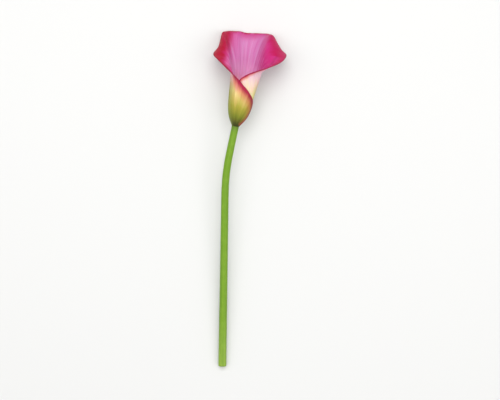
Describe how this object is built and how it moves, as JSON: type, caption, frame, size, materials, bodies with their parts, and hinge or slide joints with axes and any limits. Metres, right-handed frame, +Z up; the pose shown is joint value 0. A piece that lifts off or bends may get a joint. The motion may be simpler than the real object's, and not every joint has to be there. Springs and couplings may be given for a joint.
{
  "type": "arum lily flower",
  "caption": "Picked arum lily flower lying down: a rolled funnel-shaped spathe with a flared, rolled-back rim round a hidden spadix, on a plain round stem.",
  "frame": {"origin": "middle of the footprint, on the surface that the flower lies on", "axes": "+Z up from the surface, +Y along the stem from its cut end to the flower, +X to the right when looking down at the open front of the spathe"},
  "size_m": [0.0592, 0.2766, 0.0401],
  "materials": {
    "stem": "smooth, faintly waxy",
    "spathe": "satin, finely veined",
    "spadix": "matt, finely beaded"
  },
  "bodies": {
    "root": {"stem": "stem", "spathe": "spathe", "spadix": "spadix"}
  },
  "joints": []
}
